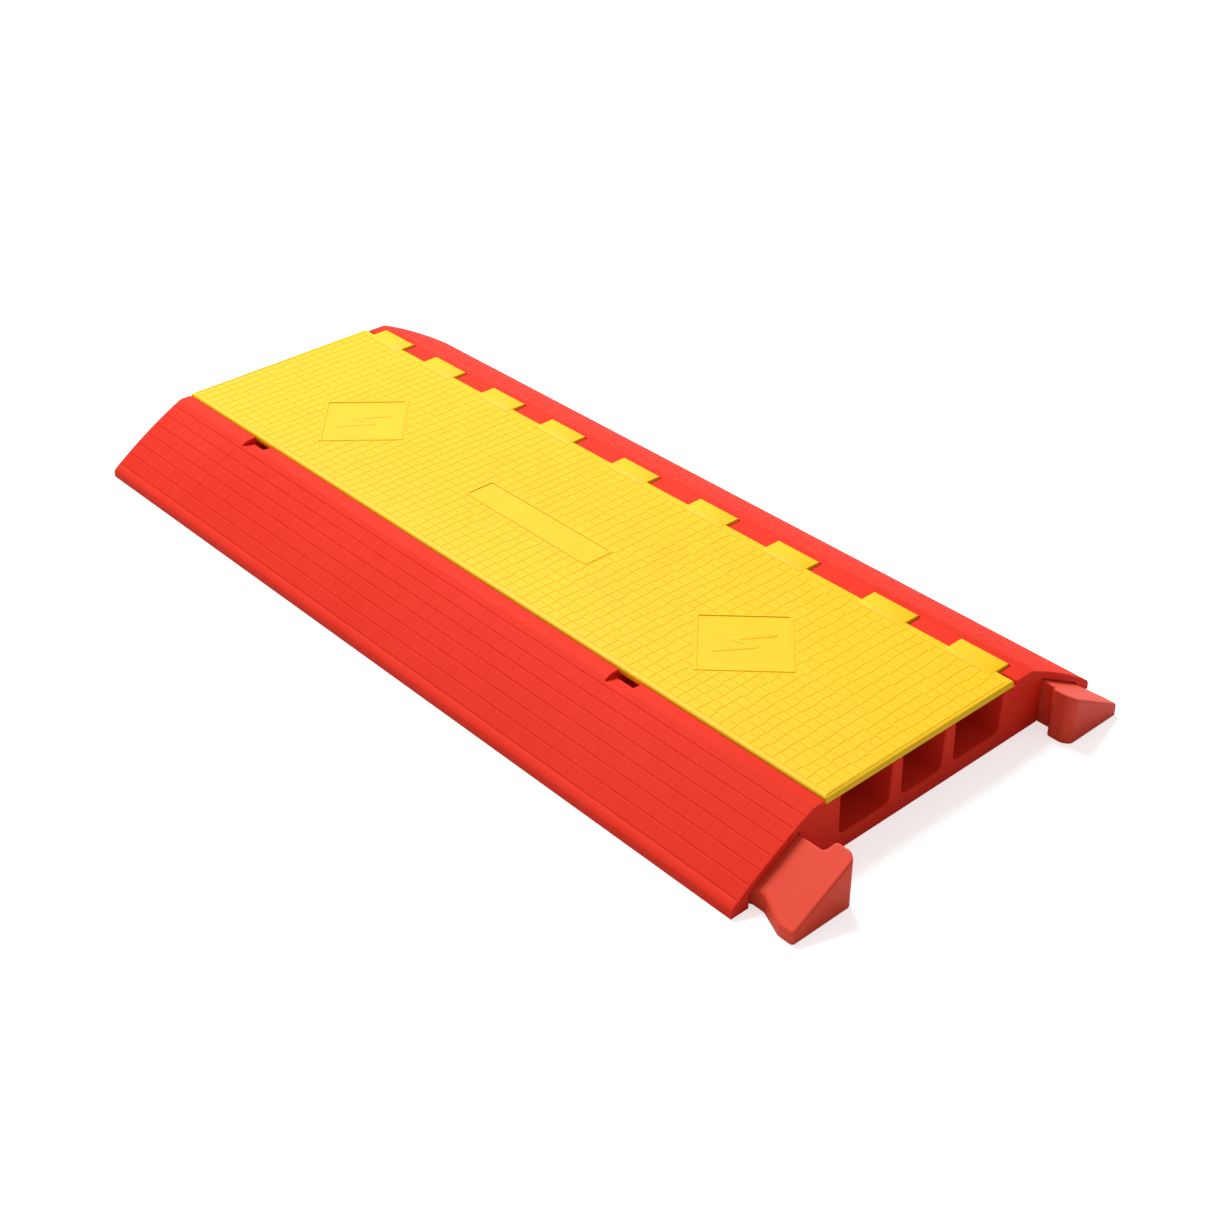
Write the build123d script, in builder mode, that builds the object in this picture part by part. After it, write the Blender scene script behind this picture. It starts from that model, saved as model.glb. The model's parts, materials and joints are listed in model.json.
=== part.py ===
"""Cable protector ramp: a three-channel, drive-over cable cover with a hinged lid.

X runs along the module, +Y towards the hinge side, Z up from the floor.
The origin is on the floor, under the middle of the module.
"""
from build123d import *
import math
import os

os.makedirs("parts", exist_ok=True)

# ---------------------------------------------------------------- driving dimensions, mm
length = 914.0
half_length = length / 2
half_width = 221.0           # centre line to either toe
toe_height = 7.5
toe_radius = 2.5
deck_height = 60.0           # crest of both ramps
crest_y = 131.0              # where the flat deck turns into the ramp
crest_radius = 14.0
ramp_bow = 2.6               # how far the ramp bulges above its own chord
rim_radius = 1.0             # edges of the deck along the lid

channel_floor = 14.5
channel_middle = -3.0        # the three channels sit a little towards the front
middle_channel_width = 49.5  # at the floor
side_channel_width = 58.5
rib_width = 15.0             # at the floor
channel_draft = 1.2          # each wall leans back this much on its way up
channel_corner = 5.5

lid_front = -120.5
lid_rear = 107.5
lid_top = 63.0
lid_thickness = 7.0
lid_edge_radius = 2.5
lid_edge_gap = 0.7
seat_gap = 0.3               # the closed lid clears its seat by this much

hinge_y = 116.0
hinge_z = 54.8
rod_radius = 3.0
base_bore_radius = 3.05
lid_bore_radius = 3.08
rod_blind_wall = 6.0         # the rod's hole stops this far short of the right end
plug_radius = 3.97
plug_hole_radius = 4.0
plug_length = 8.0

finger_centres = (-414.5, -322.5, -223.0, -127.0, -17.0, 92.0, 196.0, 314.0, 413.0)
finger_width = 50.5
finger_reach = 8.25          # behind the rod's centre, and the radius of its lower half
finger_top_radius = 4.0
finger_side_gap = 1.2
pocket_radius = 11.0
pocket_rear = 10.6           # the deck's lip behind the fingers, from the rod's centre
knuckle_front = 109.4
end_knuckle_front = 112.0

tread_depth = 0.6            # recess of the smooth panels in the lid's tread
diamonds = ((-282.0, -21.0, 49.0), (266.0, -17.5, 45.0))   # X, Y and turn
diamond_side = 86.0
nameplate_place = (-7.0, -19.0)
nameplate_size = (177.0, 35.0)
nameplate_corner = 3.0
lid_core_depth = 2.0
lid_core_length = 78.0
lid_core_pitch = 90.0
lid_core_count = 10

notch_centres = (-316.0, 236.0)
notch_width = 34.0
notch_front = -139.0
notch_drop = 3.5             # the thumb slope ends this far under the crest
slot_width = 26.0
slot_front = -127.0
slot_rear = -109.0
slot_floor = 44.0

connector_half = 45.5        # half the length of a joining piece
neck_half = 20.5             # its narrow middle runs this far each way
neck_inner = 149.0
neck_outer = 197.0
hook_inner = 139.0
head_inner = 144.0
head_outer = 207.5
head_start = 30.0
flare_start = 6.0
hook_lead = 3.0
hook_end = 39.0
connector_crown = 48.5       # height of its top at crown_y
crown_y = 141.0
connector_slope = 0.568
connector_play = 5.5         # each way, from half in and half out
socket_clearance = 1.0
socket_mouth = 14.0          # thickness of the wall that the heads hook behind
connector_edge = 2.0
connector_corner = 4.0

core_inner = 118.0           # cores under the ramps
core_outer = 204.0
core_length = 74.0
core_pitch = 86.0
core_count = 9
core_skin = 1.5              # below the height of the joining pieces
core_cap = {-1: 35.0, 1: 33.0}

# ---------------------------------------------------------------- worked out from them
lid_underside = lid_top - lid_thickness
seat_height = lid_underside - seat_gap
seat_front = lid_front - lid_edge_gap
pocket_width = finger_width + 2 * finger_side_gap
side_offset = middle_channel_width / 2 + rib_width + side_channel_width / 2
channels = (
    (channel_middle - side_offset, side_channel_width),
    (channel_middle, middle_channel_width),
    (channel_middle + side_offset, side_channel_width),
)


def top_of_connector(y):
    """Height of a joining piece's sloping top at this distance from the centre line."""
    return connector_crown - connector_slope * (y - crown_y)


def ramp_middle(side):
    """The point halfway down a ramp, bowed out from the straight line."""
    run = half_width - crest_y
    fall = deck_height - toe_height
    slant = math.hypot(run, fall)
    y = (half_width + crest_y) / 2 + ramp_bow * fall / slant
    z = (deck_height + toe_height) / 2 + ramp_bow * run / slant
    return (side * y, z)


# ---------------------------------------------------------------- room for a joining piece
with BuildPart() as socket:
    wall = half_length - socket_mouth
    back = half_length - connector_half - connector_play - socket_clearance
    with BuildSketch(Plane.XY.offset(-1)):
        with BuildLine():
            Polyline(
                (back, hook_inner - socket_clearance),
                (wall, hook_inner - socket_clearance),
                (wall, neck_inner - socket_clearance),
                (half_length + 1, neck_inner - socket_clearance),
                (half_length + 1, neck_outer + 3 * socket_clearance),
                (wall, neck_outer + 7 * socket_clearance),
                (wall, head_outer + socket_clearance),
                (back, head_outer + socket_clearance),
                close=True,
            )
        make_face()
    extrude(amount=deck_height)
    with BuildSketch(Plane.YZ.offset(back - 1)):
        roof = [(y, top_of_connector(y) + socket_clearance) for y in (crest_y, half_width - 5)]
        Polygon((crest_y, -1), (half_width - 5, -1), roof[1], roof[0], align=None)
    extrude(amount=half_length - back + 2, mode=Mode.INTERSECT)

# ---------------------------------------------------------------- base
with BuildPart() as base:
    with BuildSketch(Plane.YZ.offset(-half_length)) as section:
        with BuildLine():
            front_toe = (-half_width, toe_height)
            rear_toe = (half_width, toe_height)
            ThreePointArc(front_toe, ramp_middle(-1), (-crest_y, deck_height))
            Polyline(
                (-crest_y, deck_height),
                (seat_front, deck_height),
                (seat_front, seat_height),
                (knuckle_front, seat_height),
                (knuckle_front, deck_height),
                (crest_y, deck_height),
            )
            ThreePointArc((crest_y, deck_height), ramp_middle(1), rear_toe)
            Polyline(rear_toe, (half_width, 0), (-half_width, 0), front_toe)
        make_face()
        # in a cross-section's own sketch, X is the distance from the centre line and Y the height
        crests = section.vertices().filter_by(lambda v: abs(abs(v.X) - crest_y) < 1e-3)
        fillet(crests, crest_radius)
        toes = section.vertices().filter_by(lambda v: v.Y > 1 and abs(abs(v.X) - half_width) < 1e-3)
        fillet(toes, toe_radius)
        rims = section.vertices().filter_by(
            lambda v: abs(v.Y - deck_height) < 1e-3
            and (abs(v.X - seat_front) < 1e-3 or abs(v.X - knuckle_front) < 1e-3)
        )
        fillet(rims, rim_radius)
    extrude(amount=length)

    # the three cable channels, open along the whole module
    for middle, width in channels:
        with BuildSketch(Plane.YZ.offset(-half_length)) as channel:
            foot = width / 2
            mouth = foot + channel_draft
            Polygon(
                (middle - foot, channel_floor),
                (middle + foot, channel_floor),
                (middle + mouth, deck_height),
                (middle - mouth, deck_height),
                align=None,
            )
            fillet(channel.vertices().sort_by(Axis.Y)[:2], channel_corner)
        extrude(amount=length, mode=Mode.SUBTRACT)

    # one pocket behind the lid for each hinge finger
    for centre in finger_centres:
        with BuildSketch(Plane.YZ.offset(centre - pocket_width / 2)):
            with Locations((hinge_y, hinge_z)):
                Circle(pocket_radius)
            with Locations((hinge_y + pocket_rear / 2 - pocket_radius / 2, hinge_z)):
                Rectangle(
                    pocket_rear + pocket_radius,
                    deck_height - hinge_z + 1,
                    align=(Align.CENTER, Align.MIN),
                )
        extrude(amount=pocket_width, mode=Mode.SUBTRACT)

    # the outermost knuckles stand back a little further from the lid
    end_relief = half_length + finger_centres[0] - pocket_width / 2
    for end in (-1, 1):
        with BuildSketch(Plane.XY.offset(seat_height)):
            with Locations((end * (half_length - end_relief / 2), (knuckle_front + end_knuckle_front) / 2 - 1)):
                Rectangle(end_relief, end_knuckle_front - knuckle_front + 2)
        extrude(amount=deck_height, mode=Mode.SUBTRACT)

    # the rod's hole, blind at the right end, and the wider hole for its plug
    with BuildSketch(Plane.YZ.offset(-half_length)):
        with Locations((hinge_y, hinge_z)):
            Circle(base_bore_radius)
    extrude(amount=length - rod_blind_wall, mode=Mode.SUBTRACT)
    with BuildSketch(Plane.YZ.offset(-half_length)):
        with Locations((hinge_y, hinge_z)):
            Circle(plug_hole_radius)
    extrude(amount=plug_length, mode=Mode.SUBTRACT)

    # pry notches: a thumb slope in the crest, then a slot that runs in under the lid
    for centre in notch_centres:
        with BuildSketch(Plane.YZ.offset(centre - notch_width / 2)):
            Polygon(
                (notch_front, deck_height + 2),
                (notch_front, deck_height - 3),
                (slot_front, deck_height - notch_drop),
                (seat_front + 1, deck_height - notch_drop - 1),
                (seat_front + 1, deck_height + 2),
                align=None,
            )
        extrude(amount=notch_width, mode=Mode.SUBTRACT)
        with BuildSketch(Plane.XY.offset(slot_floor)):
            with Locations((centre, (slot_front + slot_rear) / 2)):
                Rectangle(slot_width, slot_rear - slot_front)
        extrude(amount=deck_height, mode=Mode.SUBTRACT)

    # sockets for the joining pieces at all four corners
    add(socket.part, mode=Mode.SUBTRACT)
    add(socket.part.mirror(Plane.XZ), mode=Mode.SUBTRACT)
    add(socket.part.mirror(Plane.YZ), mode=Mode.SUBTRACT)
    add(socket.part.mirror(Plane.XZ).mirror(Plane.YZ), mode=Mode.SUBTRACT)

    # cores under both ramps, open underneath
    for side in (-1, 1):
        cap = core_cap[side]
        cap_y = crown_y + (connector_crown - core_skin - cap) / connector_slope
        for step in range(core_count):
            start = (step - (core_count - 1) / 2) * core_pitch - core_length / 2
            with BuildSketch(Plane.YZ.offset(start)) as core:
                Polygon(
                    (side * core_inner, 0),
                    (side * core_inner, cap),
                    (side * cap_y, cap),
                    (side * core_outer, top_of_connector(core_outer) - core_skin),
                    (side * core_outer, 0),
                    align=None,
                )
            extrude(amount=core_length, mode=Mode.SUBTRACT)

base.part.label = "base"
export_step(base.part, "parts/base.step")

# ---------------------------------------------------------------- lid
with BuildPart() as lid:
    with BuildSketch(Plane.XY.offset(lid_underside)):
        with Locations((0, (lid_front + lid_rear) / 2)):
            Rectangle(length, lid_rear - lid_front)
    extrude(amount=lid_thickness)
    rim = lid.faces().sort_by(Axis.Z)[-1].edges()
    fillet(rim.filter_by(Axis.X).sort_by(Axis.Y)[:1] + rim.filter_by(Axis.Y), lid_edge_radius)

    # hinge fingers: flat on top, round underneath
    for centre in finger_centres:
        with BuildSketch(Plane.YZ.offset(centre - finger_width / 2)) as finger:
            root = lid_rear - 4
            with BuildLine():
                Polyline(
                    (hinge_y - finger_reach, hinge_z),
                    (hinge_y - finger_reach, lid_underside),
                    (root, lid_underside),
                    (root, lid_top),
                    (hinge_y + finger_reach, lid_top),
                    (hinge_y + finger_reach, hinge_z),
                )
                ThreePointArc(
                    (hinge_y + finger_reach, hinge_z),
                    (hinge_y, hinge_z - finger_reach),
                    (hinge_y - finger_reach, hinge_z),
                )
            make_face()
            rear_top = finger.vertices().filter_by(lambda v: v.X > hinge_y and v.Y > hinge_z + 1)
            fillet(rear_top, finger_top_radius)
        extrude(amount=finger_width)
    with BuildSketch(Plane.YZ.offset(-half_length)):
        with Locations((hinge_y, hinge_z)):
            Circle(lid_bore_radius)
    extrude(amount=length, mode=Mode.SUBTRACT)

    # smooth panels sunk in the tread: two diamonds and the nameplate's place
    with BuildSketch(Plane.XY.offset(lid_top - tread_depth)):
        for x, y, turn in diamonds:
            with Locations((x, y)):
                Rectangle(diamond_side, diamond_side, rotation=turn)
        with Locations(nameplate_place):
            RectangleRounded(*nameplate_size, nameplate_corner)
    extrude(amount=tread_depth, mode=Mode.SUBTRACT)

    # shallow cores underneath, over the channels
    for middle, width in channels:
        with BuildSketch(Plane.XY.offset(lid_underside)):
            with Locations((0, middle)):
                with GridLocations(lid_core_pitch, 1, lid_core_count, 1):
                    RectangleRounded(lid_core_length, width - 10, 4)
        extrude(amount=lid_core_depth, mode=Mode.SUBTRACT)

lid.part.label = "lid"
export_step(lid.part, "parts/lid.step")

# ---------------------------------------------------------------- hinge rod and its plug
with BuildPart() as hinge_rod:
    rod_start = -half_length + plug_length + 0.5
    with BuildSketch(Plane.YZ.offset(rod_start)):
        with Locations((hinge_y, hinge_z)):
            Circle(rod_radius)
    extrude(amount=half_length - rod_blind_wall - 1 - rod_start)
    chamfer(hinge_rod.edges().filter_by(GeomType.CIRCLE), 0.6)

hinge_rod.part.label = "hinge_rod"
export_step(hinge_rod.part, "parts/hinge_rod.step")

with BuildPart() as rod_plug:
    with BuildSketch(Plane.YZ.offset(-half_length)):
        with Locations((hinge_y, hinge_z)):
            Circle(plug_radius)
    extrude(amount=plug_length)
    fillet(rod_plug.edges().filter_by(GeomType.CIRCLE), 0.5)

rod_plug.part.label = "rod_plug"
export_step(rod_plug.part, "parts/rod_plug.step")

# ---------------------------------------------------------------- joining pieces
# One end of the outline, from its middle out: distance from the middle, distance from the centre line.
inner_side = ((0, neck_inner), (neck_half, neck_inner), (neck_half + hook_lead, hook_inner),
              (hook_end, hook_inner), (connector_half, head_inner))
outer_side = ((connector_half, head_outer), (head_start, head_outer), (flare_start, neck_outer), (0, neck_outer))


def connector_outline(middle):
    """Outline of a whole joining piece whose middle is at this X, on the rear side."""
    right = [(middle + out, y) for out, y in inner_side[1:] + outer_side[:-1]]
    left = [(middle - out, y) for out, y in reversed(inner_side[1:] + outer_side[:-1])]
    return right + left


connectors = {}
for name, side, shift in (("front_connector", -1, connector_play), ("rear_connector", 1, -connector_play)):
    with BuildPart() as connector:
        with BuildSketch() as plan:
            with BuildLine():
                Polyline(*connector_outline(half_length + shift), close=True)
            make_face()
            fillet(plan.vertices(), connector_corner)
        extrude(amount=deck_height)
        with BuildSketch(Plane.YZ.offset(half_length + shift - connector_half - 1)):
            roof = [(y, top_of_connector(y)) for y in (crest_y, half_width)]
            Polygon((crest_y, 0), (half_width, 0), roof[1], roof[0], align=None)
        extrude(amount=2 * connector_half + 2, mode=Mode.INTERSECT)
        sloping_top = connector.faces().filter_by(lambda f: 0.5 < f.normal_at().Z < 0.95)
        fillet(sloping_top.edges(), connector_edge)
        if side < 0:
            mirror(about=Plane.XZ, mode=Mode.REPLACE)
    connector.part.label = name
    export_step(connector.part, f"parts/{name}.step")
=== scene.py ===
import bmesh
import bpy
import json
import math
import random
from mathutils import Matrix, Vector


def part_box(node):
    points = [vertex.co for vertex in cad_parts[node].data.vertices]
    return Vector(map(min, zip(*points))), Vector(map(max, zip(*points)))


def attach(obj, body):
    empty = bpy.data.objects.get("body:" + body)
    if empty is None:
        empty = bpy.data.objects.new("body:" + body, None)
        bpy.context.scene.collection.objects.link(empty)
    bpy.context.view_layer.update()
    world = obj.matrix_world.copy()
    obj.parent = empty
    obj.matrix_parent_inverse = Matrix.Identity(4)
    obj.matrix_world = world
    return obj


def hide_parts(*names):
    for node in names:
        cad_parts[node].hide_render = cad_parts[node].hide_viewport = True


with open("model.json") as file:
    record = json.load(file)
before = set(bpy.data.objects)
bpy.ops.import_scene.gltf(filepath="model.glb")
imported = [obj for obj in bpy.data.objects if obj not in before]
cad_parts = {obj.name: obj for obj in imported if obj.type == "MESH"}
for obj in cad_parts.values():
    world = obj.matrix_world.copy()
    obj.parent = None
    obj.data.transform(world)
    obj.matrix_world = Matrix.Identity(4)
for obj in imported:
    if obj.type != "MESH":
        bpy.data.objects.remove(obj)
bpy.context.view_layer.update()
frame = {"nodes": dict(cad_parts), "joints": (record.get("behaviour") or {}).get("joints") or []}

# ---------------------------------------------------------------- sizes, metres
mm = 0.001
tiny = 0.01 * mm
_, base_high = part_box("base")
lid_low, lid_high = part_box("lid")
hinge = next(joint for joint in frame["joints"] if joint["name"] == "lid_hinge")
_, hinge_y, hinge_z = hinge["pos_m"]

half_length = base_high.x
half_width = base_high.y
deck_height = base_high.z
toe_height = 7.5 * mm
toe_radius = 2.5 * mm
crest_y = 133 * mm
crest_rounding = 2.6 * mm
ramp_bow = 3.0 * mm              # how far the ramp stands above a straight slope, halfway down
end_bevel = 0.8 * mm

first_groove = 142 * mm
groove_pitch = 11.85 * mm
groove_count = 7
groove_widths = {-1: 1.2 * mm, 1: 2.0 * mm}    # front ramp, rear ramp
groove_depth_share = 0.5         # depth of a groove as a share of its width
groove_end = 455.2 * mm          # the grooves run out this far from the middle
groove_fade = 1.5 * mm
ramp_tile = 15.2 * mm
ramp_tile_rise = 0.1 * mm
ramp_tile_edge = 0.15 * mm
narrowest_row = 6 * mm

lid_top = lid_high.z
lid_front = lid_low.y
lid_rear = 107.5 * mm
lid_underside = lid_top - 7 * mm
lid_skin = lid_top - 0.7 * mm    # the plain border; only the raised frames reach lid_top
lid_corner = 2.0 * mm
lid_edge = 2.9 * mm
lid_rear_edge = 0.6 * mm
lid_lower_edge = 0.5 * mm
seat_height = lid_underside - 0.3 * mm
seat_front = lid_front - 0.7 * mm
knuckle_front = 109.4 * mm
end_knuckle_front = 112 * mm
seat_rounding = 5.0 * mm
rim_radius = 1.0 * mm

tread_half_length = 453.2 * mm
tread_front = -114.6 * mm
tread_rear = 100 * mm
tread_rows = 21
cell_length = 11.7 * mm
ridge_height = 0.35 * mm
ridge_slope = 0.4 * mm
ridge_half_top = 0.3 * mm
joint_lattice = 0.6 * mm         # joints of neighbouring rows line up exactly or miss by a multiple of this
joint_wander = 1.1 * mm
finger_top = lid_skin + ridge_height

finger_centres = [x * mm for x in (-414.5, -322.5, -223, -127, -17, 92, 196, 314, 413)]
finger_width = 50.5 * mm
finger_radius = 8.25 * mm
finger_rounding = 1.1 * mm
finger_root = 100.2 * mm
finger_edge = 0.4 * mm
finger_root_lift = 0.4 * mm
pocket_gap = 1.2 * mm
pocket_radius = 11 * mm
pocket_rear = 10.6 * mm
reach_past = 1 * mm              # cutters run this far past the face that they open
rod_bore = 3.05 * mm
lid_bore = 3.08 * mm
rod_blind_wall = 6 * mm
plug_bore = 4.0 * mm
plug_length = 8 * mm

channel_floor = 14.5 * mm
channel_corner = 5.5 * mm
channel_flare = 1.2 * mm
mouth_growth = 2.2 * channel_flare
channels = [(x * mm, w * mm) for x, w in ((-72, 58.5), (-3, 49.5), (66, 58.5))]
lid_core_depth = 2.0 * mm
lid_core_length = 78 * mm
lid_core_pitch = 90 * mm
lid_core_count = 10
lid_core_margin = 5 * mm
lid_core_corner = 4 * mm

diamonds = [(-282 * mm, -21 * mm, 49), (266 * mm, -17.5 * mm, 45)]
diamond_side = 86 * mm
diamond_corner = 1.2 * mm
nameplate_place = (-7 * mm, -19 * mm)
nameplate_size = (177 * mm, 35 * mm)
nameplate_corner = 3 * mm
frame_width = 2.8 * mm
frame_slope = 0.4 * mm
frame_draft = 0.6 * mm
panel_floor = lid_top - 0.9 * mm
panel_pocket = lid_top - 1.5 * mm
panel_underside = lid_top - 2 * mm
panel_lap = 1 * mm               # how far a panel reaches past the pocket cut for it
bolt_corners = ((10, 27), (-11, -3), (11, 3), (-10, -27))
stroke_width = 5 * mm
stroke_foot = 0.4 * mm
stroke_rise = 0.3 * mm
stroke_edge = 0.4 * mm
stroke_crown = 0.15 * mm

notch_centres = (-317 * mm, 235 * mm)
notch_width = 29 * mm
notch_front = -139.3 * mm
notch_front_depth = 3.2 * mm
notch_rear_depth = 6 * mm
slot_front = -125 * mm
slot_rear = -109 * mm
slot_floor = 44 * mm
notch_corner = 2 * mm
notch_taper = 0.9

connector_slope = 0.568
connector_crown = 48.5 * mm      # height of a joining piece's top at connector_crown_y
connector_crown_y = 141 * mm
connector_half = 45.5 * mm
connector_inner = 139 * mm
connector_outer = 207.5 * mm
connector_edge = 2.2 * mm
connector_corner = 3.0 * mm
connector_foot = 0.6 * mm
flat_ring = 0.4 * mm             # a ring round each large face, which keeps its middle flat to the eye
large_face = 100 * mm * mm
socket_clearance = 1.0 * mm
socket_play = 5.5 * mm
socket_mouth = 14 * mm
head_room = (138 * mm, 208.5 * mm)
neck_room = (148 * mm, 202 * mm)
neck_flare = 2 * mm

core_inner = 118 * mm
core_outer = 204 * mm
core_length = 74 * mm
core_pitch = 86 * mm
core_count = 9
core_skin = 1.5 * mm
core_corner = 3 * mm
core_caps = {-1: 35 * mm, 1: 33 * mm}


# ---------------------------------------------------------------- tools of the trade
def lay_down_tools():
    """Leaves edit mode with nothing selected."""
    if bpy.context.object and bpy.context.object.mode != "OBJECT":
        bpy.ops.object.mode_set(mode="OBJECT")
    bpy.ops.object.select_all(action="DESELECT")


def take(piece):
    lay_down_tools()
    bpy.context.view_layer.objects.active = piece
    piece.select_set(True)


def open_up(piece, kind="VERT"):
    """Edit mode on one piece, nothing selected."""
    take(piece)
    bpy.ops.object.mode_set(mode="EDIT")
    bpy.ops.mesh.select_mode(type=kind)
    bpy.ops.mesh.select_all(action="DESELECT")


def close_up():
    bpy.ops.object.mode_set(mode="OBJECT")


def pick(kind, test):
    """Selects the vertices, edges or faces that pass the test, and says how many there are."""
    bpy.ops.mesh.select_mode(type={"verts": "VERT", "edges": "EDGE", "faces": "FACE"}[kind])
    bpy.ops.mesh.select_all(action="DESELECT")
    mesh = bpy.context.object.data
    shape = bmesh.from_edit_mesh(mesh)
    chosen = [item for item in getattr(shape, kind) if not item.hide and test(item)]
    for item in chosen:
        item.select_set(True)
    shape.select_flush_mode()
    bmesh.update_edit_mesh(mesh)
    return len(chosen)


def near(a, b):
    return abs(a - b) < tiny


def both(edge, test):
    return all(test(vertex.co) for vertex in edge.verts)


def along_x(edge):
    a, b = (vertex.co for vertex in edge.verts)
    return abs(a.y - b.y) < tiny and abs(a.z - b.z) < tiny


def across_x(edge):
    return near(edge.verts[0].co.x, edge.verts[1].co.x)


def upright(edge):
    a, b = (vertex.co for vertex in edge.verts)
    return abs(a.x - b.x) < tiny and abs(a.y - b.y) < tiny


def bisect(place, normal, **more):
    bpy.ops.mesh.bisect(plane_co=place, plane_no=normal, threshold=1e-6, **more)


def block(name, low, high, turn=0.0):
    """A box between two corners, turned about its own middle, with its place in its mesh."""
    lay_down_tools()
    low, high = Vector(low), Vector(high)
    bpy.ops.mesh.primitive_cube_add(
        size=1, location=(low + high) / 2, rotation=(0, 0, math.radians(turn)), scale=high - low
    )
    piece = bpy.context.object
    piece.name = name
    bpy.ops.object.transform_apply(location=True, rotation=True, scale=True)
    return piece


def rod(name, start, end, radius, y, z, sides=48):
    """A round bar along X."""
    lay_down_tools()
    bpy.ops.mesh.primitive_cylinder_add(
        vertices=sides, radius=radius, depth=end - start,
        location=((start + end) / 2, y, z), rotation=(0, math.pi / 2, 0),
    )
    piece = bpy.context.object
    piece.name = name
    bpy.ops.object.transform_apply(location=True, rotation=True, scale=True)
    return piece


def twin(piece, shift):
    """A copy with its own mesh, moved by shift."""
    take(piece)
    bpy.ops.object.duplicate()
    copy = bpy.context.object
    bpy.ops.transform.translate(value=shift)
    bpy.ops.object.transform_apply(location=True, rotation=True, scale=True)
    return copy


def mirror(piece, axis):
    """Moves a piece to the other side of the middle, across X or Y."""
    take(piece)
    piece.scale = (-1, 1, 1) if axis == "X" else (1, -1, 1)
    bpy.ops.object.transform_apply(location=True, rotation=True, scale=True)
    open_up(piece, "FACE")
    bpy.ops.mesh.select_all(action="SELECT")
    bpy.ops.mesh.normals_make_consistent(inside=False)
    close_up()


def row_of(piece, count, pitch):
    """Turns a piece into a row of copies along X, centred on the middle of the module."""
    take(piece)
    bpy.ops.object.modifier_add(type="ARRAY")
    array = piece.modifiers[-1]
    array.count = count
    array.use_relative_offset = False
    array.use_constant_offset = True
    array.constant_offset_displace = (pitch, 0, 0)
    bpy.ops.object.modifier_apply(modifier=array.name)
    bpy.ops.transform.translate(value=(-pitch * (count - 1) / 2, 0, 0))
    bpy.ops.object.transform_apply(location=True, rotation=True, scale=True)
    return piece


def combine(piece, other, operation):
    take(piece)
    bpy.ops.object.modifier_add(type="BOOLEAN")
    modifier = piece.modifiers[-1]
    modifier.operation = operation
    modifier.solver = "MANIFOLD"
    modifier.object = other
    bpy.ops.object.modifier_apply(modifier=modifier.name)
    bpy.data.objects.remove(other)


def carve(piece, *cutters):
    for cutter in cutters:
        combine(piece, cutter, "DIFFERENCE")


def weld(piece, *others):
    for other in others:
        combine(piece, other, "UNION")


def finish_surface(piece, degrees=32):
    take(piece)
    bpy.ops.object.shade_smooth_by_angle(angle=math.radians(degrees))


def uneven_steps(start, end, pitch, draw):
    """Places for joints, at slightly uneven steps from start to end."""
    places = []
    x = start + pitch * draw.uniform(0.7, 1.0)
    while x < end - 0.5 * pitch:
        places.append(x)
        x += pitch * draw.uniform(0.88, 1.12)
    return places


def cut_joints(in_row, places, draw, left_out=0.0):
    """Cuts the picked rows across near each place; a few joints may be left out."""
    bpy.ops.mesh.reveal(select=False)
    if not pick("faces", in_row):
        return
    bpy.ops.mesh.hide(unselected=True)
    for place in places:
        x = place + joint_wander * draw.uniform(-1, 1)
        if draw.random() >= left_out:
            bpy.ops.mesh.select_all(action="SELECT")
            bisect((round(x / joint_lattice) * joint_lattice, 0, 0), (1, 0, 0))
    bpy.ops.mesh.reveal(select=False)


# ---------------------------------------------------------------- lid
def pick_largest_top():
    """Selects the largest of the faces that look straight up."""
    shape = bmesh.from_edit_mesh(bpy.context.object.data)
    largest = max((f for f in shape.faces if f.normal.z > 0.99), key=lambda f: f.calc_area())
    wanted = largest.index
    pick("faces", lambda f: f.index == wanted)


def lid_plate():
    """The lid's plate with rounded edges, before its tread."""
    plate = block("lid_moulding", (-half_length, lid_front, lid_underside),
                  (half_length, lid_rear, lid_skin))
    open_up(plate, "EDGE")
    pick("edges", lambda e: across_x(e) and both(e, lambda p: near(p.y, lid_front)))
    bpy.ops.mesh.bevel(offset=lid_corner, segments=3, affect="EDGES")
    pick("edges", lambda e: both(e, lambda p: near(p.y, lid_rear) and near(p.z, lid_skin)))
    bpy.ops.mesh.bevel(offset=lid_rear_edge, segments=2, affect="EDGES")
    pick("edges", lambda e: both(e, lambda p: near(p.z, lid_skin))
         and sum(v.co.y for v in e.verts) / 2 < lid_rear - 1 * mm)
    bpy.ops.mesh.bevel(offset=lid_edge, segments=4, affect="EDGES")
    pick("edges", lambda e: both(e, lambda p: near(p.z, lid_underside)))
    bpy.ops.mesh.bevel(offset=lid_lower_edge, segments=2, affect="EDGES")
    close_up()
    return plate


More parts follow.
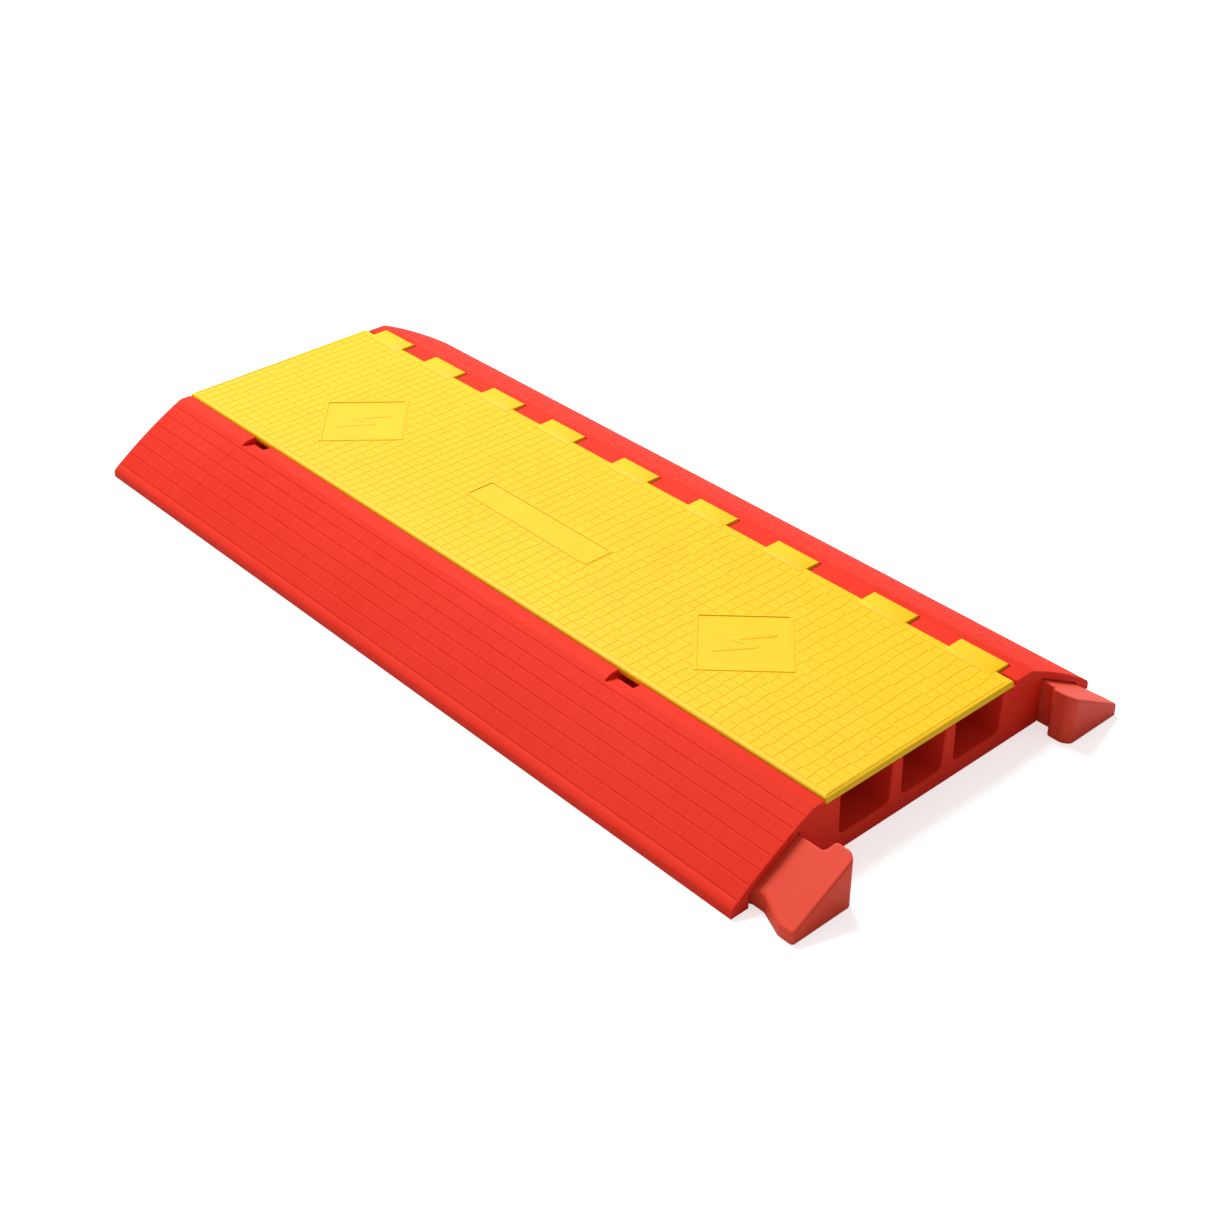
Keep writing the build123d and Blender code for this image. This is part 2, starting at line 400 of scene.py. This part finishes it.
def raise_tread(plate):
    """A field of low ridges: long straight rows, and joints across them that nearly line up.

    Rows of one group share their joints, and the next row belongs to another group.
    """
    open_up(plate, "FACE")
    for place, normal in (
        ((-tread_half_length, 0, 0), (1, 0, 0)),
        ((tread_half_length, 0, 0), (1, 0, 0)),
        ((0, tread_front, 0), (0, 1, 0)),
        ((0, tread_rear, 0), (0, 1, 0)),
    ):
        pick_largest_top()
        bisect(place, normal)
    pick_largest_top()
    bpy.ops.mesh.inset(thickness=ridge_slope, depth=ridge_height)

    field_z = lid_skin + ridge_height
    row_pitch = (tread_rear - tread_front) / tread_rows

    def in_field(face):
        return face.normal.z > 0.99 and near(face.calc_center_median().z, field_z)

    for row in range(1, tread_rows):
        pick("faces", in_field)
        bisect((0, tread_front + row * row_pitch, 0), (0, 1, 0))

    draw = random.Random(7)
    places = uneven_steps(-tread_half_length, tread_half_length, cell_length, draw)
    groups = 7
    for group in range(groups):
        def in_group(face):
            row = int((face.calc_center_median().y - tread_front) / row_pitch)
            return in_field(face) and (row * 3) % groups == group

        cut_joints(in_group, places, draw)
    pick("faces", in_field)
    bpy.ops.mesh.inset(thickness=ridge_half_top, depth=0, use_individual=True)
    bpy.ops.mesh.inset(thickness=ridge_slope, depth=-ridge_height, use_individual=True)
    close_up()


def hinge_finger():
    """One finger at the middle of the module: round under the rod, flat on top."""
    finger = rod("finger", -finger_width / 2, finger_width / 2, finger_radius, hinge_y, hinge_z, 40)
    open_up(finger)
    bpy.ops.mesh.select_all(action="SELECT")
    bisect((0, 0, hinge_z), (0, 0, 1), clear_outer=True, use_fill=True)
    pick("faces", lambda f: f.normal.z > 0.99)
    bpy.ops.mesh.extrude_region_move(TRANSFORM_OT_translate={"value": (0, 0, finger_top - hinge_z)})
    pick("edges", lambda e: both(e, lambda p: near(p.z, finger_top)
                                 and p.y > hinge_y + finger_radius - tiny))
    bpy.ops.mesh.bevel(offset=finger_rounding, segments=3, affect="EDGES")
    pick("edges", lambda e: across_x(e)
         and both(e, lambda p: near(abs(p.x), finger_width / 2) and p.z > hinge_z + 1 * mm)
         and any(f.normal.z > 0.3 for f in e.link_faces))
    bpy.ops.mesh.bevel(offset=finger_edge, segments=2, affect="EDGES")
    close_up()
    root = block("finger_root", (-finger_width / 2, finger_root, lid_underside + finger_root_lift),
                 (finger_width / 2, hinge_y, finger_top))
    open_up(root)
    pick("edges", lambda e: both(e, lambda p: near(p.z, finger_top)) and
         (both(e, lambda p: p.y < finger_root + tiny) or across_x(e)))
    bpy.ops.mesh.bevel(offset=finger_edge, segments=2, affect="EDGES")
    close_up()
    weld(finger, root)
    return finger


def bar(start, end, width, low, high):
    """A raised stroke with round ends and softened top edges."""
    start, end = Vector(start), Vector(end)
    middle, run = (start + end) / 2, end - start
    half = Vector(((run.length + width) / 2, width / 2, 0))
    centre = Vector((middle.x, middle.y, 0))
    stroke = block("stroke", centre - half + Vector((0, 0, low)), centre + half + Vector((0, 0, high)),
                   math.degrees(math.atan2(run.y, run.x)))
    open_up(stroke)
    pick("edges", upright)
    bpy.ops.mesh.bevel(offset=width * 0.45, segments=4, affect="EDGES")
    pick("faces", lambda f: f.normal.z > 0.99)
    bpy.ops.mesh.inset(thickness=stroke_edge, depth=stroke_crown)
    close_up()
    return stroke


def rounded_block(name, centre, size, low, high, corner, turn):
    """A block with round upright corners, turned about its middle."""
    half = Vector((size[0] / 2, size[1] / 2, 0))
    piece = block(name, centre - half + Vector((0, 0, low)), centre + half + Vector((0, 0, high)), turn)
    open_up(piece)
    pick("edges", upright)
    bpy.ops.mesh.bevel(offset=corner, segments=4, affect="EDGES")
    close_up()
    return piece


def framed_panel(lid, x, y, size, turn, corner, strokes=()):
    """A smooth sunk panel in a raised frame, set into the tread; any strokes stand on its floor."""
    centre = Vector((x, y, 0))

    def smaller(by):
        return [length - 2 * by for length in size]

    carve(lid, rounded_block("pocket", centre, smaller(panel_lap), panel_pocket, lid_top + reach_past,
                             corner, turn))
    panel = rounded_block("panel", centre, size, panel_underside, lid_top - frame_slope, corner, turn)
    open_up(panel, "FACE")
    pick("faces", lambda f: f.normal.z > 0.99)
    bpy.ops.mesh.inset(thickness=frame_slope, depth=frame_slope)
    close_up()
    recess = rounded_block("recess", centre, smaller(frame_width), panel_floor, lid_top + 0.1 * mm,
                           corner / 2, turn)
    open_up(recess)
    pick("verts", lambda v: v.co.z < panel_floor + tiny)
    bpy.ops.transform.resize(value=(*(1 - 2 * frame_draft / length for length in size), 1),
                             center_override=centre)
    close_up()
    carve(panel, recess)
    weld(panel, *strokes)
    weld(lid, panel)


def bolt(x, y):
    """The strokes of a plain lightning sign, the general one for power cables."""
    corners = [Vector((x + a * mm, y + b * mm)) for a, b in bolt_corners]
    return [bar(start, end, stroke_width, panel_floor - stroke_foot, panel_floor + stroke_rise)
            for start, end in zip(corners, corners[1:])]


def lid_core_cutter(middle, width):
    """A row of shallow hollows under the lid, over one channel."""
    half = width / 2 - lid_core_margin
    core = block("core", (-lid_core_length / 2, middle - half, lid_underside - reach_past),
                 (lid_core_length / 2, middle + half, lid_underside + lid_core_depth))
    open_up(core)
    pick("edges", upright)
    bpy.ops.mesh.bevel(offset=lid_core_corner, segments=3, affect="EDGES")
    close_up()
    return row_of(core, lid_core_count, lid_core_pitch)


def build_lid():
    lid = lid_plate()
    raise_tread(lid)
    for middle, width in channels:
        carve(lid, lid_core_cutter(middle, width))
    finger = hinge_finger()
    for x in finger_centres:
        weld(lid, twin(finger, (x, 0, 0)))
    bpy.data.objects.remove(finger)
    past_end = half_length + reach_past
    carve(lid, rod("bore", -past_end, past_end, lid_bore, hinge_y, hinge_z, 32))
    for x, y, turn in diamonds:
        framed_panel(lid, x, y, (diamond_side, diamond_side), turn, diamond_corner, bolt(x, y))
    framed_panel(lid, *nameplate_place, nameplate_size, 0, nameplate_corner)
    finish_surface(lid)
    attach(lid, "lid")
    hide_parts("lid")
    return lid


# ---------------------------------------------------------------- base
def ramp_height(y):
    """Height of a ramp at this distance from the centre line."""
    share = (abs(y) - crest_y) / (half_width - crest_y)
    return deck_height - share * (deck_height - toe_height) + 4 * share * (1 - share) * ramp_bow


def top_of_connector(y):
    """Height of a joining piece's sloping top at this distance from the centre line."""
    return connector_crown - connector_slope * (abs(y) - connector_crown_y)


def base_block(grooves):
    """The whole cross-section as one block: flat deck, two bowed ramps, rounded crests and toes."""
    base = block("base_moulding", (-half_length, -half_width, 0), (half_length, half_width, deck_height))
    open_up(base)
    for side, width in groove_widths.items():
        lines = [groove + step * width for groove in grooves for step in (-0.5, 0, 0.5)]
        for y in [crest_y] + lines:
            bpy.ops.mesh.select_all(action="SELECT")
            bisect((0, side * y, 0), (0, 1, 0))
        for y in lines + [half_width]:
            pick("verts", lambda v: near(v.co.y, side * y) and near(v.co.z, deck_height))
            bpy.ops.transform.translate(value=(0, 0, ramp_height(y) - deck_height))
    pick("edges", lambda e: along_x(e) and both(e, lambda p: near(abs(p.y), crest_y) and p.z > toe_height))
    bpy.ops.mesh.bevel(offset=crest_rounding, segments=4, affect="EDGES")
    pick("edges", lambda e: along_x(e) and both(e, lambda p: near(abs(p.y), half_width) and p.z > tiny))
    bpy.ops.mesh.bevel(offset=toe_radius, segments=3, affect="EDGES")
    pick("edges", lambda e: across_x(e) and both(e, lambda p: near(abs(p.x), half_length))
         and any(f.normal.z > 0.2 for f in e.link_faces))
    bpy.ops.mesh.bevel(offset=end_bevel, segments=3, affect="EDGES")
    close_up()
    return base


def score_ramps(base, grooves):
    """Long grooves down both ramps, and very shallow joints across the rows between them."""
    open_up(base, "FACE")

    def on_ramp(face):
        middle = face.calc_center_median()
        return (0.3 < face.normal.z < 0.98 and abs(middle.y) > crest_y + 2 * mm
                and abs(middle.x) < groove_end)

    def breadth(face):
        ys = [v.co.y for v in face.verts]
        return max(ys) - min(ys)

    def in_groove(face):
        return on_ramp(face) and breadth(face) < max(groove_widths.values())

    def in_row(face):
        return on_ramp(face) and breadth(face) > narrowest_row

    for end in (-1, 1):
        for x in (groove_end - groove_fade, groove_end):
            pick("faces", in_groove)
            bisect((end * x, 0, 0), (1, 0, 0))
    fall = math.atan2(deck_height - toe_height, half_width - crest_y)
    for side in (-1, 1):
        pick("verts", lambda v: v.co.y * side > 0 and v.co.z > toe_height
             and abs(v.co.x) < groove_end - groove_fade + tiny
             and any(near(abs(v.co.y), y) for y in grooves))
        depth = groove_depth_share * groove_widths[side]
        bpy.ops.transform.translate(value=(0, -side * depth * math.sin(fall), -depth * math.cos(fall)))

    draw = random.Random(11)
    places = uneven_steps(-groove_end, groove_end, ramp_tile, draw)
    groups = 4
    for group in range(groups):
        def in_group(face):
            middle = face.calc_center_median()
            row = int((abs(middle.y) - crest_y) / groove_pitch) + (2 if middle.y > 0 else 0)
            return in_row(face) and row % groups == group

        cut_joints(in_group, places, draw, left_out=0.15)
    pick("faces", in_row)
    bpy.ops.mesh.inset(thickness=ramp_tile_edge, depth=ramp_tile_rise, use_individual=True)
    close_up()


def channel_cutter(middle, width):
    """Room for cables: rounded at the floor, and flared a little where it meets either end."""
    half = width / 2
    past_end, top = half_length + reach_past, deck_height + reach_past
    cutter = block("channel", (-past_end, middle - half, channel_floor), (past_end, middle + half, top))
    open_up(cutter)
    pick("verts", lambda v: v.co.z > deck_height)
    bpy.ops.transform.resize(value=(1, 1 + 2 * channel_flare / width, 1), center_override=(0, middle, 0))
    pick("edges", lambda e: along_x(e) and both(e, lambda p: near(p.z, channel_floor)))
    bpy.ops.mesh.bevel(offset=channel_corner, segments=5, affect="EDGES")
    for end in (-1, 1):
        bpy.ops.mesh.select_all(action="SELECT")
        bisect((end * (half_length - channel_flare), 0, 0), (1, 0, 0))
    pick("verts", lambda v: abs(v.co.x) > half_length)
    deeper = 1 + mouth_growth / (deck_height - channel_floor)
    bpy.ops.transform.resize(value=(1, 1 + 2 * mouth_growth / width, deeper),
                             center_override=(0, middle, top))
    close_up()
    return cutter


def pocket_cutter(x):
    """Room behind the lid for one hinge finger to turn in."""
    half = finger_width / 2 + pocket_gap
    cutter = rod("finger_room", x - half, x + half, pocket_radius, hinge_y, hinge_z)
    upper = block("upper_room", (x - half, hinge_y - pocket_radius, hinge_z),
                  (x + half, hinge_y + pocket_rear, deck_height + reach_past))
    weld(cutter, upper)
    return cutter


def notch_cutters(x):
    """A thumb slope in the front crest, and the slot behind it that runs in under the lid."""
    slope = block("thumb_slope", (x - notch_width / 2, notch_front, deck_height - notch_front_depth),
                  (x + notch_width / 2, seat_front + reach_past, deck_height + 3 * reach_past))
    open_up(slope)
    bpy.ops.mesh.select_all(action="SELECT")
    bisect((0, slot_front, 0), (0, 1, 0))
    pick("verts", lambda v: v.co.z < deck_height and v.co.y > slot_front - tiny)
    bpy.ops.transform.translate(value=(0, 0, notch_front_depth - notch_rear_depth))
    pick("verts", lambda v: v.co.y < notch_front + tiny)
    bpy.ops.transform.resize(value=(notch_taper, 1, 1), center_override=(x, 0, 0))
    pick("edges", lambda e: both(e, lambda p: p.y < notch_front + tiny) and not along_x(e))
    bpy.ops.mesh.bevel(offset=notch_corner, segments=3, affect="EDGES")
    close_up()
    slot_half = notch_width / 2 - 1 * mm
    slot = block("pry_slot", (x - slot_half, slot_front, slot_floor),
                 (x + slot_half, slot_rear, deck_height + reach_past))
    return slope, slot


def socket_cutters(end, side):
    """Room for the head and the neck of a joining piece, open underneath."""
    wall = half_length - socket_mouth
    back = half_length - connector_half - socket_play - socket_clearance
    cutters = []
    for name, start, stop, inner, outer in (
        ("head_room", back, wall + tiny, *head_room),
        ("neck_room", wall - tiny, half_length + reach_past, *neck_room),
    ):
        cutter = block(name, (start, inner, -reach_past), (stop, outer, deck_height))
        open_up(cutter)
        bpy.ops.mesh.select_all(action="SELECT")
        roof = top_of_connector(outer) + socket_clearance
        bisect((0, outer, roof), (0, connector_slope, 1), clear_outer=True, use_fill=True)
        if name == "neck_room":
            pick("verts", lambda v: near(v.co.x, wall - tiny) and near(v.co.y, outer))
            bpy.ops.transform.translate(value=(0, neck_flare, -neck_flare * connector_slope))
        close_up()
        if side < 0:
            mirror(cutter, "Y")
        if end < 0:
            mirror(cutter, "X")
        cutters.append(cutter)
    return cutters


def ramp_core_cutter(side):
    """A row of hollows under one ramp."""
    core = block("ramp_core", (-core_length / 2, core_inner, -reach_past),
                 (core_length / 2, core_outer, core_caps[side]))
    open_up(core)
    bpy.ops.mesh.select_all(action="SELECT")
    roof = top_of_connector(core_outer) - core_skin
    bisect((0, core_outer, roof), (0, connector_slope, 1), clear_outer=True, use_fill=True)
    pick("edges", upright)
    bpy.ops.mesh.bevel(offset=core_corner, segments=2, affect="EDGES")
    close_up()
    if side < 0:
        mirror(core, "Y")
    return row_of(core, core_count, core_pitch)


def build_base():
    grooves = [first_groove + step * groove_pitch for step in range(groove_count)]
    base = base_block(grooves)
    score_ramps(base, grooves)
    past_end, above = half_length + reach_past, deck_height + reach_past
    carve(base, block("seat", (-past_end, seat_front, seat_height), (past_end, knuckle_front, above)))
    open_up(base)
    for y, offset, segments in ((seat_front, seat_rounding, 6), (knuckle_front, rim_radius, 3)):
        pick("edges", lambda e: along_x(e) and both(e, lambda p: near(p.z, deck_height) and near(p.y, y)))
        bpy.ops.mesh.bevel(offset=offset, segments=segments, affect="EDGES")
    close_up()
    for middle, width in channels:
        carve(base, channel_cutter(middle, width))
    for x in finger_centres:
        carve(base, pocket_cutter(x))
    end_relief = half_length + finger_centres[0] - finger_width / 2 - pocket_gap
    for end in (-1, 1):
        inner, outer = sorted((end * (half_length - end_relief), end * past_end))
        carve(base, block("end_relief", (inner, knuckle_front - mm, seat_height),
                          (outer, end_knuckle_front, above)))
    for name, stop, radius in (("bore", half_length - rod_blind_wall, rod_bore),
                               ("plug_bore", -half_length + plug_length, plug_bore)):
        carve(base, rod(name, -past_end, stop, radius, hinge_y, hinge_z, 32))
    for x in notch_centres:
        carve(base, *notch_cutters(x))
    for side in (-1, 1):
        for end in (-1, 1):
            carve(base, *socket_cutters(end, side))
        carve(base, ramp_core_cutter(side))
    finish_surface(base)
    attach(base, "base")
    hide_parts("base")
    return base


# ---------------------------------------------------------------- joining pieces
# Distance from a joining piece's middle, then how far its inner and outer sides are from the centre line.
connector_stations = [tuple(value * mm for value in station) for station in (
    (6, 149, 197), (20.5, 149, 203.3), (23.5, 139, 204.7),
    (30, 139, 207.5), (39, 139, 207.5), (45.5, 144, 207.5),
)]
connector_corners = [(reach * mm, y * mm) for reach, y in (
    (20.5, 149), (23.5, 139), (39, 139), (45.5, 144), (45.5, 207.5),
)]
connector_bends = [(reach * mm, y * mm) for reach, y in ((6, 197), (30, 207.5))]


def build_connector(node, side):
    """A joining piece: two heads and a neck in outline, cut off along a slope at the top."""
    low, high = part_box(node)
    middle = (low.x + high.x) / 2
    piece = block(node + "_moulding", (middle - connector_half, connector_inner, 0),
                  (middle + connector_half, connector_outer, deck_height))
    open_up(piece)
    for reach, _, _ in connector_stations[:-1]:
        for end in (-1, 1):
            bpy.ops.mesh.select_all(action="SELECT")
            bisect((middle + end * reach, 0, 0), (1, 0, 0))
    for reach, near_side, far_side in connector_stations:
        for start, place in ((connector_inner, near_side), (connector_outer, far_side)):
            pick("verts", lambda v: near(abs(v.co.x - middle), reach) and near(v.co.y, start))
            if place != start:
                bpy.ops.transform.translate(value=(0, place - start, 0))
    for corners, offset in ((connector_corners, connector_corner), (connector_bends, connector_corner / 2)):
        def at_corner(point):
            return any(near(abs(point.x - middle), reach) and near(point.y, y) for reach, y in corners)

        pick("edges", lambda e: upright(e) and both(e, at_corner))
        bpy.ops.mesh.bevel(offset=offset, segments=4, affect="EDGES")
    bpy.ops.mesh.select_all(action="SELECT")
    bisect((0, connector_crown_y, connector_crown), (0, connector_slope, 1),
           clear_outer=True, use_fill=True)
    pick("faces", lambda f: 0.5 < f.normal.z < 0.95)
    bpy.ops.mesh.bevel(offset=connector_edge, segments=4, affect="EDGES")
    pick("edges", lambda e: both(e, lambda p: near(p.z, 0))
         and any(f.normal.z > -0.5 for f in e.link_faces))
    bpy.ops.mesh.bevel(offset=connector_foot, segments=2, affect="EDGES")
    pick("faces", lambda f: f.calc_area() > large_face)
    bpy.ops.mesh.inset(thickness=flat_ring, depth=0, use_individual=True)
    close_up()
    if side < 0:
        mirror(piece, "Y")
    finish_surface(piece, 40)
    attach(piece, node)
    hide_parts(node)
    return piece


# ---------------------------------------------------------------- materials
def socket_in(group, name, kind="NodeSocketFloat", value=None):
    made = group.interface.new_socket(name=name, in_out="INPUT", socket_type=kind)
    if value is not None:
        made.default_value = value
    return made


def socket_out(group, name, kind="NodeSocketFloat"):
    return group.interface.new_socket(name=name, in_out="OUTPUT", socket_type=kind)


def noise(tree, scale, detail, vector, roughness=0.55):
    node = tree.nodes.new("ShaderNodeTexNoise")
    node.inputs["Scale"].default_value = scale
    node.inputs["Detail"].default_value = detail
    node.inputs["Roughness"].default_value = roughness
    tree.links.new(vector, node.inputs["Vector"])
    return node.outputs["Fac"]


def spread(tree, value, low, high, to_low, to_high):
    """Stretches part of a value's range to a new range."""
    node = tree.nodes.new("ShaderNodeMapRange")
    for name, number in (("From Min", low), ("From Max", high), ("To Min", to_low), ("To Max", to_high)):
        node.inputs[name].default_value = number
    tree.links.new(value, node.inputs["Value"])
    return node.outputs["Result"]


def calculate(tree, operation, a, b):
    node = tree.nodes.new("ShaderNodeMath")
    node.operation = operation
    for slot, value in zip(node.inputs, (a, b)):
        if isinstance(value, (int, float)):
            slot.default_value = value
        else:
            tree.links.new(value, slot)
    return node.outputs["Value"]


def blend_colours(tree, share, first, second):
    node = tree.nodes.new("ShaderNodeMix")
    node.data_type = "RGBA"
    tree.links.new(share, node.inputs["Factor"])
    for name, colour in (("A", first), ("B", second)):
        slot = next(s for s in node.inputs if s.name == name and s.type == "RGBA")
        if isinstance(colour, tuple):
            slot.default_value = (*colour, 1)
        else:
            tree.links.new(colour, slot)
    return next(s for s in node.outputs if s.type == "RGBA")


def moulded_skin_group():
    """Surface of cast polyurethane: slow flow tones, a fine satin grain and a few faint rubs."""
    group = bpy.data.node_groups.new("moulded skin", "ShaderNodeTree")
    socket_in(group, "Place", "NodeSocketVector")
    socket_in(group, "Grain", value=900.0)
    socket_out(group, "Tone")
    socket_out(group, "Height")
    socket_out(group, "Rubs")
    start = group.nodes.new("NodeGroupInput")
    end = group.nodes.new("NodeGroupOutput")
    place = start.outputs["Place"]
    flow = noise(group, 5.0, 3.0, place)
    cloud = noise(group, 42.0, 4.0, place)
    tone = calculate(group, "ADD", calculate(group, "MULTIPLY", flow, 0.65),
                     calculate(group, "MULTIPLY", cloud, 0.35))
    group.links.new(spread(group, tone, 0.35, 0.65, 0.0, 1.0), end.inputs["Tone"])
    fine = group.nodes.new("ShaderNodeTexNoise")
    fine.inputs["Detail"].default_value = 2.0
    group.links.new(place, fine.inputs["Vector"])
    group.links.new(start.outputs["Grain"], fine.inputs["Scale"])
    ripple = noise(group, 150.0, 2.0, place)
    height = calculate(group, "ADD", calculate(group, "MULTIPLY", fine.outputs["Fac"], 0.6),
                       calculate(group, "MULTIPLY", ripple, 0.4))
    group.links.new(height, end.inputs["Height"])
    drag = group.nodes.new("ShaderNodeMapping")
    drag.inputs["Scale"].default_value = (14, 160, 160)
    drag.inputs["Rotation"].default_value = (0, 0, 0.5)
    group.links.new(place, drag.inputs["Vector"])
    rubs = spread(group, noise(group, 1.0, 5.0, drag.outputs["Vector"], 0.7), 0.6, 0.75, 0.0, 1.0)
    group.links.new(rubs, end.inputs["Rubs"])
    return group


def moulded(name, skin, colour, deep, roughness, specular, grain=900, bump=0.3):
    """A satin moulding: its colour drifts a little, and its gloss follows the rubs."""
    material = bpy.data.materials.new(name)
    material.use_nodes = True
    tree = material.node_tree
    shader = tree.nodes["Principled BSDF"]
    shader.inputs["Specular IOR Level"].default_value = specular
    place = tree.nodes.new("ShaderNodeTexCoord").outputs["Object"]
    surface = tree.nodes.new("ShaderNodeGroup")
    surface.node_tree = skin
    surface.inputs["Grain"].default_value = grain
    tree.links.new(place, surface.inputs["Place"])
    tree.links.new(blend_colours(tree, surface.outputs["Tone"], deep, colour), shader.inputs["Base Color"])
    gloss = calculate(tree, "ADD", calculate(tree, "MULTIPLY", surface.outputs["Tone"], 0.05),
                      calculate(tree, "MULTIPLY", surface.outputs["Rubs"], -0.06))
    tree.links.new(calculate(tree, "ADD", gloss, roughness), shader.inputs["Roughness"])
    relief = tree.nodes.new("ShaderNodeBump")
    relief.inputs["Strength"].default_value = bump
    relief.inputs["Distance"].default_value = 0.15 * mm
    tree.links.new(surface.outputs["Height"], relief.inputs["Height"])
    tree.links.new(relief.outputs["Normal"], shader.inputs["Normal"])
    return material


def drawn_steel():
    """Bright rod stock with fine draw lines along X."""
    material = bpy.data.materials.new("drawn steel")
    material.use_nodes = True
    tree = material.node_tree
    shader = tree.nodes["Principled BSDF"]
    shader.inputs["Metallic"].default_value = 1.0
    place = tree.nodes.new("ShaderNodeTexCoord").outputs["Object"]
    draw_lines = tree.nodes.new("ShaderNodeMapping")
    draw_lines.inputs["Scale"].default_value = (20, 2500, 2500)
    tree.links.new(place, draw_lines.inputs["Vector"])
    lines = noise(tree, 1.0, 3.0, draw_lines.outputs["Vector"])
    metal = blend_colours(tree, lines, (0.42, 0.42, 0.43), (0.66, 0.66, 0.67))
    tree.links.new(metal, shader.inputs["Base Color"])
    tree.links.new(spread(tree, lines, 0.3, 0.7, 0.24, 0.42), shader.inputs["Roughness"])
    return material


def paint(piece, material):
    piece.data.materials.clear()
    piece.data.materials.append(material)


# ---------------------------------------------------------------- studio
def build_floor():
    """A pale floor just under the module, brightened for the camera only."""
    lay_down_tools()
    bpy.ops.mesh.primitive_plane_add(size=14, location=(0, 0, -0.1 * mm))
    floor = bpy.context.object
    floor.name = "studio_floor"
    material = bpy.data.materials.new("pale floor")
    material.use_nodes = True
    shader = material.node_tree.nodes["Principled BSDF"]
    shader.inputs["Base Color"].default_value = (0.78, 0.78, 0.78, 1)
    shader.inputs["Roughness"].default_value = 0.9
    shader.inputs["Specular IOR Level"].default_value = 0.1
    shader.inputs["Emission Color"].default_value = (1, 1, 1, 1)
    sight = material.node_tree.nodes.new("ShaderNodeLightPath")
    lift = calculate(material.node_tree, "MULTIPLY", sight.outputs["Is Camera Ray"], 0.62)
    material.node_tree.links.new(lift, shader.inputs["Emission Strength"])
    paint(floor, material)


def soft_light(name, place, aim, size, power):
    data = bpy.data.lights.new(name, "AREA")
    data.shape = "DISK"
    data.size = size
    data.energy = power
    lamp = bpy.data.objects.new(name, data)
    lamp.location = place
    lamp.rotation_euler = (Vector(aim) - Vector(place)).to_track_quat("-Z", "Y").to_euler()
    bpy.context.scene.collection.objects.link(lamp)


def light_studio():
    """White all round to look at, but far dimmer as a light."""
    sky_light = 0.36
    world = bpy.data.worlds.new("studio")
    bpy.context.scene.world = world
    world.use_nodes = True
    tree = world.node_tree
    sky = tree.nodes["Background"]
    sky.inputs["Color"].default_value = (1, 1, 1, 1)
    sight = tree.nodes.new("ShaderNodeLightPath")
    seen = calculate(tree, "MULTIPLY", sight.outputs["Is Camera Ray"], 1 - sky_light)
    tree.links.new(calculate(tree, "ADD", seen, sky_light), sky.inputs["Strength"])
    soft_light("key", place=(-3.0, 0.9, 4.6), aim=(0, 0, 0), size=3.0, power=392)
    bpy.context.scene.view_settings.view_transform = "Standard"


def set_camera():
    """The camera stands off the front right corner of the module and looks down on it."""
    heading, dip, roll = math.radians(-48.49), math.radians(33.59), math.radians(-0.513)
    ahead = Vector((math.sin(heading) * math.cos(dip), math.cos(heading) * math.cos(dip), -math.sin(dip)))
    right = Vector((math.cos(heading), -math.sin(heading), 0))
    up = right.cross(ahead)
    tilted_right = math.cos(roll) * right + math.sin(roll) * up
    tilted_up = math.cos(roll) * up - math.sin(roll) * right
    data = bpy.data.cameras.new("camera")
    data.lens = 57.68
    data.sensor_width = 36
    camera = bpy.data.objects.new("camera", data)
    axes = Matrix((tilted_right, tilted_up, -ahead)).transposed()
    camera.matrix_world = Matrix.Translation((1.2143, -1.0132, 1.0098)) @ axes.to_4x4()
    bpy.context.scene.collection.objects.link(camera)
    bpy.context.scene.camera = camera


# ---------------------------------------------------------------- the whole protector
skin = moulded_skin_group()
yellow = moulded("yellow polyurethane", skin, colour=(0.93, 0.555, 0.008), deep=(0.90, 0.52, 0.005),
                 roughness=0.44, specular=0.20)
red = moulded("red polyurethane", skin, colour=(0.80, 0.040, 0.022), deep=(0.76, 0.033, 0.015),
              roughness=0.60, specular=0.06)
joiner_red = moulded("joining piece polyurethane", skin, colour=(0.80, 0.072, 0.036),
                     deep=(0.76, 0.063, 0.030), roughness=0.46, specular=0.16, grain=1400, bump=0.2)
steel = drawn_steel()

paint(build_lid(), yellow)
paint(build_base(), red)
for node, side in (("front_connector", -1), ("rear_connector", 1)):
    paint(build_connector(node, side), joiner_red)
paint(frame["nodes"]["hinge_rod"], steel)
paint(frame["nodes"]["rod_plug"], red)

build_floor()
light_studio()
set_camera()
